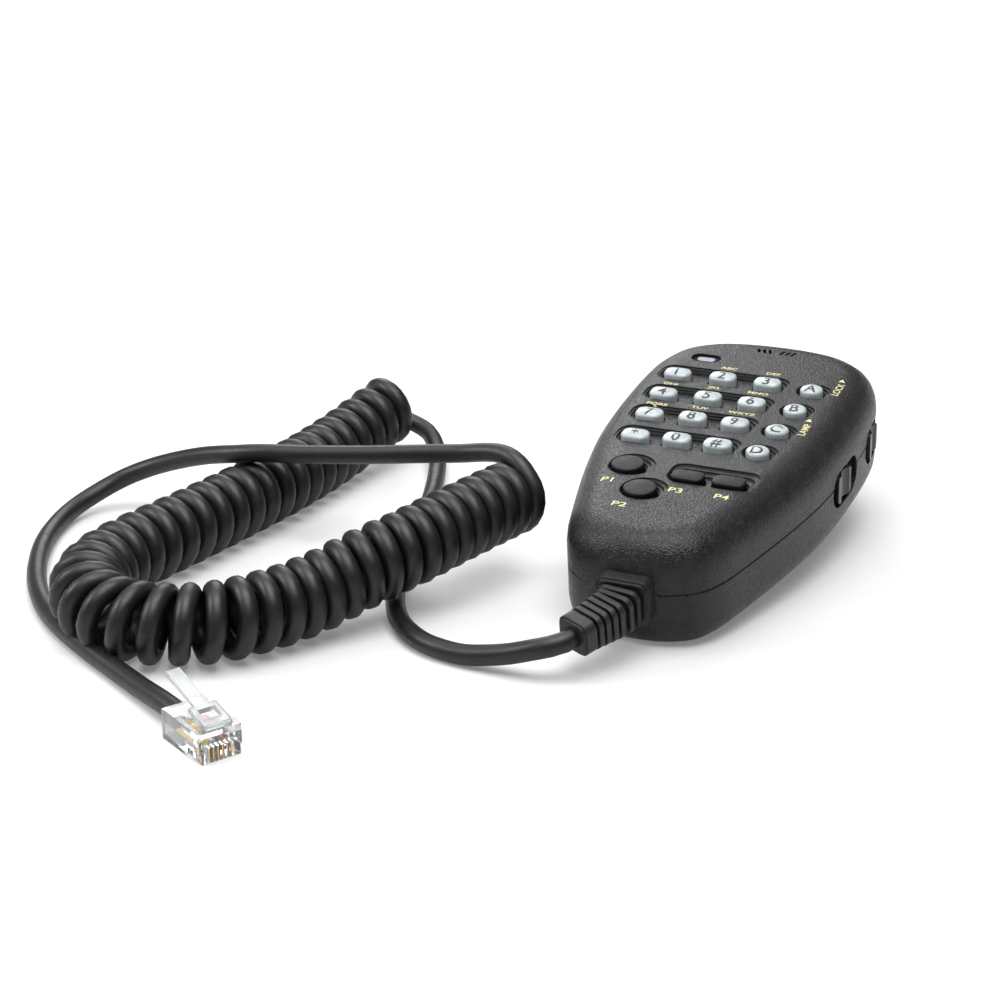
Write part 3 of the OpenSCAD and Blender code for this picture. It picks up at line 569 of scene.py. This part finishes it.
def lofted(rings):
    """A closed mesh through rings of points, the first and last filled."""
    form = bmesh.new()
    loops = [[form.verts.new(point) for point in ring] for ring in rings]
    for lower, upper in zip(loops, loops[1:]):
        for i in range(len(lower)):
            j = (i + 1) % len(lower)
            form.faces.new([lower[i], lower[j], upper[j], upper[i]])
    form.faces.new(list(reversed(loops[0])))
    form.faces.new(loops[-1])
    return form


def key_mesh(node, corner, flange, top):
    """A pillow-topped key where its CAD node is, over a flange given by its widths across and along."""
    low, high = local_box(node)
    middle = (low + high) / 2
    edge, dome = top
    width = high.x - low.x - 2 * flange[0]
    depth = high.y - low.y - 2 * flange[1]
    flange_top = low.z + FLANGE_HEIGHT

    def ring(wide, deep, radius, z, share=1.0):
        return [Vector((middle.x + share * p.x, middle.y + share * p.y, z))
                for p in rounded_outline(wide, deep, radius)]

    rings = [
        ring(high.x - low.x, high.y - low.y, corner, low.z),
        ring(high.x - low.x, high.y - low.y, corner, flange_top),
        ring(width, depth, corner, flange_top),
    ]
    shoulder = high.z - dome - edge
    for i in range(EDGE_STEPS + 1):
        turn = math.radians(90 * i / EDGE_STEPS)
        inset = edge * (1 - math.cos(turn))
        radius = max(corner - inset, LEAST_CORNER)
        z = shoulder + edge * math.sin(turn)
        rings.append(ring(width - 2 * inset, depth - 2 * inset, radius, z))
    top_corner = max(corner - edge, LEAST_CORNER)
    for i in range(1, DOME_STEPS):
        share = 1 - i / DOME_STEPS
        z = high.z - dome * share ** 2
        rings.append(ring(width - 2 * edge, depth - 2 * edge, top_corner, z, share))
    form = lofted(rings)
    form.transform(ON_MIC)
    mesh = bpy.data.meshes.new(node + "_form")
    form.to_mesh(mesh)
    form.free()
    shaded(mesh, KEY_SHARP)
    return mesh


def add_key(node, corner, flange, top, material):
    mesh = key_mesh(node, corner, flange, top)
    piece = show(node + "_cap", mesh, material, BODIES[node])
    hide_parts(node)


# ---------------------------------------------------------------- prints

def text_mesh(text, size, weight):
    """Filled letters centred on the origin, with outlines moved out by weight times their size."""
    curve = bpy.data.curves.new("lettering", "FONT")
    curve.body = text
    curve.size = size
    curve.offset = weight * size
    curve.align_x = "CENTER"
    curve.align_y = "CENTER"
    curve.resolution_u = 6
    holder = bpy.data.objects.new("lettering", curve)
    bpy.context.scene.collection.objects.link(holder)
    bpy.context.view_layer.update()
    mesh = bpy.data.meshes.new_from_object(
        holder.evaluated_get(bpy.context.evaluated_depsgraph_get()))
    bpy.data.objects.remove(holder)
    return mesh


def triangle_mesh(size):
    mesh = bpy.data.meshes.new("triangle")
    points = [(-0.5 * size, -0.45 * size, 0), (0.5 * size, -0.45 * size, 0), (0, 0.45 * size, 0)]
    mesh.from_pydata(points, [], [(0, 1, 2)])
    return mesh


def printed(name, flat, place, surface, material, body, turn=0, stretch=1.0):
    """Flat shapes laid onto a surface at a place in the microphone's axes, cut up to follow it."""
    form = bmesh.new()
    form.from_mesh(flat)
    bmesh.ops.remove_doubles(form, verts=form.verts, dist=PRINT_WELD)
    bmesh.ops.triangulate(form, faces=form.faces)
    for _ in range(PRINT_ROUNDS):
        long_edges = [edge for edge in form.edges if edge.calc_length() > PRINT_STEP]
        if not long_edges:
            break
        bmesh.ops.subdivide_edges(form, edges=long_edges, cuts=1)
        bmesh.ops.triangulate(form, faces=form.faces)
    form.transform(Matrix.Diagonal((stretch, 1, 1, 1)))
    form.transform(Matrix.Translation(place) @ Matrix.Rotation(math.radians(turn), 4, "Z"))
    for vertex in form.verts:
        hit = surface.ray_cast(vertex.co + PRINT_DROP, Vector((0, 0, -1)))[0]
        if hit is not None:
            vertex.co.z = hit.z + PRINT_LIFT
    form.transform(ON_MIC)
    mesh = bpy.data.meshes.new(name)
    form.to_mesh(mesh)
    form.free()
    show(name, mesh, material, body)


def lettered(name, text, lettering, place, surface, material, body, turn=0):
    size, weight, stretch = lettering
    printed(name, text_mesh(text, size, weight), place, surface, material, body, turn, stretch)


# ---------------------------------------------------------------- the microphone

FINISHES = [
    (case_finish, "case_plastic", ["front_case", "back_case"]),
    (boot_finish, "boot_rubber", ["strain_relief", "mic_boot"]),
    (mat_finish, "keypad_silicone", ["keypad_mat"]),
    (control_finish, "control_plastic", [
        "ptt_bar", "lock_slider", "lamp_slider", "up_button", "down_button", "hang_button"]),
    (component_finish, "component_body", [
        "ptt_switch", "lock_switch", "lamp_switch", "up_down_switches", "encoder_chip", "board_parts"]),
    (steel_finish, "screw_steel", ["ptt_pin", "hang_screw", "case_screws", "board_screws"]),
    (board_finish, "board_laminate", ["circuit_board"]),
    (socket_finish, "socket_plastic", ["wire_socket"]),
    (led_finish, "led_body", ["status_led"]),
    (window_finish, "window_plastic", ["led_lens"]),
    (capsule_finish, "capsule_metal", ["mic_capsule"]),
    (inner_wire_finish, "wire_jackets", ["inner_wires"]),
    (label_finish, "label_film", ["rating_label"]),
    (clear_finish, "plug_plastic", ["plug_body"]),
    (latch_painted_shade_finish, "plug_plastic", ["plug_latch"]),
    (gold_finish, "contact_gold", ["plug_contacts"]),
    (plug_wire_finish, "wire_jackets", ["plug_wires"]),
]

for finish, slot_name, nodes in FINISHES:
    for node in nodes:
        refined(node, finish)

DIGITS = {"key_1": "1", "key_2": "2", "key_3": "3", "key_4": "4", "key_5": "5", "key_6": "6",
          "key_7": "7", "key_8": "8", "key_9": "9", "key_star": "*", "key_0": "0", "key_hash": "#"}
LETTERS = {"key_a": "A", "key_b": "B", "key_c": "C", "key_d": "D"}

SQUARE_FLANGE = (FLANGE_WIDTH, FLANGE_WIDTH)
OBLONG_FLANGE = (OBLONG_FLANGE_ACROSS, FLANGE_WIDTH)
for node in DIGITS:
    add_key(node, DIGIT_CORNER, SQUARE_FLANGE, PALE_TOP, key_finish)
for node in LETTERS:
    add_key(node, LETTER_CORNER, SQUARE_FLANGE, PALE_TOP, key_finish)
for node in ["key_p1", "key_p2"]:
    low, high = local_box(node)
    almost_round = (high.x - low.x) / 2 - FLANGE_WIDTH - LEAST_STRAIGHT
    add_key(node, almost_round, SQUARE_FLANGE, DARK_TOP, function_finish)
for node in ["key_p3", "key_p4"]:
    add_key(node, OBLONG_CORNER, OBLONG_FLANGE, DARK_TOP, function_finish)

# Each kind of lettering: its size, its weight on top of the font's, and its stretch along its line.
MARK_LETTERING = (3.9 * MM, 0.016, 1.1)
GROUP_LETTERING = (1.8 * MM, 0.012, 1.25)
FUNCTION_LETTERING = (2.9 * MM, 0.008, 1.25)
SIDE_LETTERING = (2.5 * MM, 0.006, 1.05)

MARK_OFFSET = Vector((0, -0.9, 0)) * MM
for node, mark in {**DIGITS, **LETTERS}.items():
    cap = surface_tree(bpy.data.objects[node + "_cap"].data)
    place = middle_of(node) + MARK_OFFSET
    lettered(node + "_mark", mark, MARK_LETTERING, place, cap, black_ink, BODIES[node])

# What is printed on the face goes by the key that it belongs to, at an offset from the key's middle.
face = surface_tree(frame["nodes"]["front_case"].data)
GROUPS = {"key_2": "ABC", "key_3": "DEF", "key_4": "GHI", "key_5": "JKL", "key_6": "MNO",
          "key_7": "PQRS", "key_8": "TUV", "key_9": "WXYZ"}
GROUP_OFFSET = Vector((-0.4, 6.4, 0)) * MM
for node, text in GROUPS.items():
    place = middle_of(node) + GROUP_OFFSET
    lettered("print_" + text.lower(), text, GROUP_LETTERING, place, face, yellow_ink, "microphone")

# Offsets across and along the face, in millimetres.
FUNCTION_PRINTS = {"key_p1": ("P1", (-1.8, -8.1)), "key_p2": ("P2", (-2, -8.2)),
                   "key_p3": ("P3", (-0.5, -7)), "key_p4": ("P4", (0.5, -7.1))}
for node, (text, offset) in FUNCTION_PRINTS.items():
    place = middle_of(node) + Vector((*offset, 0)) * MM
    lettered("print_" + text.lower(), text, FUNCTION_LETTERING, place, face, yellow_ink, "microphone")

# What the slide switches do is printed up the side, beside a letter key, with a triangle above it.
SIDE_PRINTS = {"key_a": "LOCK", "key_c": "LAMP"}
SIDE_OFFSET = Vector((5.9, 3.2, 0)) * MM
TRIANGLE_OFFSET = Vector((-0.5, 5.4, 0)) * MM
TRIANGLE_SIZE = 1.7 * MM
for node, text in SIDE_PRINTS.items():
    name = "print_" + text.lower()
    place = middle_of(node) + SIDE_OFFSET
    lettered(name, text, SIDE_LETTERING, place, face, yellow_ink, "microphone", turn=90)
    printed(name + "_triangle", triangle_mesh(TRIANGLE_SIZE), place + TRIANGLE_OFFSET, face,
            yellow_ink, "microphone")

# ---------------------------------------------------------------- the cord

def cord_tube(points):
    """A round tube along a line of points."""
    curve = bpy.data.curves.new("curly_cord", "CURVE")
    curve.dimensions = "3D"
    curve.bevel_depth = CORD_DIAMETER / 2
    curve.bevel_resolution = 5
    curve.use_fill_caps = True
    spline = curve.splines.new("POLY")
    spline.points.add(len(points) - 1)
    for point, place in zip(spline.points, points):
        point.co = (*place, 1)
    spline.use_smooth = True
    return curve


cord_points = cord_path()
curly_cord = show("curly_cord", cord_tube(cord_points), cord_finish, "microphone")
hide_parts("cord_mic_lead", "cord_coil", "cord_plug_lead")

# ---------------------------------------------------------------- floor, light and camera

FLOOR_SIZE = 4
FLOOR_DROP = 0.02 * MM
# Each light: its place, what it points at, its width and height, and its power in watts.
LIGHTS = {
    "soft_box_above": ((0.1, -0.2, 0.95), (0, -0.03, 0), (0.8, 0.8), 13),
    "ceiling": ((-0.3, 0.3, 1.2), (-0.05, 0, 0), (1.4, 1.4), 9),
    "soft_box_behind": ((-0.5, 0.8, 0.5), (0, 0, 0.02), (0.5, 0.4), 3),
    "soft_box_left": ((-0.75, -0.35, 0.55), (0, -0.03, 0.02), (0.4, 0.4), 5),
}
ROOM_GLOW = 0.22
CAMERA_PLACE = (0.1450, -0.4420, 0.1961)
CAMERA_TILT = math.radians(68.9)
CAMERA_TURN = math.radians(23.96)
CAMERA_LENS = 74.8


def add_floor():
    form = bmesh.new()
    bmesh.ops.create_grid(form, x_segments=1, y_segments=1, size=FLOOR_SIZE)
    mesh = bpy.data.meshes.new("floor")
    form.to_mesh(mesh)
    form.free()
    floor = bpy.data.objects.new("floor", mesh)
    floor.location.z = -FLOOR_DROP
    floor.data.materials.append(floor_paper())
    bpy.context.scene.collection.objects.link(floor)


def add_light(name, place, target, size, power):
    data = bpy.data.lights.new(name, "AREA")
    data.shape = "RECTANGLE"
    data.size, data.size_y = size
    data.energy = power
    light = bpy.data.objects.new(name, data)
    light.location = place
    light.rotation_euler = (Vector(target) - Vector(place)).to_track_quat("-Z", "Y").to_euler()
    bpy.context.scene.collection.objects.link(light)


def add_room():
    """The camera sees a white room, which lights the object as a dimmer one."""
    world = bpy.data.worlds.new("studio")
    bpy.context.scene.world = world
    world.use_nodes = True
    tree = world.node_tree
    background = tree.nodes["Background"]
    background.inputs["Color"].default_value = (1, 1, 1, 1)
    seen = add(tree, "ShaderNodeLightPath").outputs["Is Camera Ray"]
    strength = add(
        tree, "ShaderNodeMath", {0: seen, 1: 1 - ROOM_GLOW, 2: ROOM_GLOW}, operation="MULTIPLY_ADD")
    tree.links.new(strength.outputs["Value"], background.inputs["Strength"])


def add_camera():
    camera = bpy.data.objects.new("camera", bpy.data.cameras.new("camera"))
    camera.data.sensor_width = 36
    camera.data.lens = CAMERA_LENS
    camera.data.clip_start = 0.01
    camera.location = CAMERA_PLACE
    camera.rotation_euler = (CAMERA_TILT, 0, CAMERA_TURN)
    bpy.context.scene.collection.objects.link(camera)
    bpy.context.scene.camera = camera


add_floor()
for name, settings in LIGHTS.items():
    add_light(name, *settings)
add_room()
add_camera()
bpy.context.scene.view_settings.view_transform = "Standard"
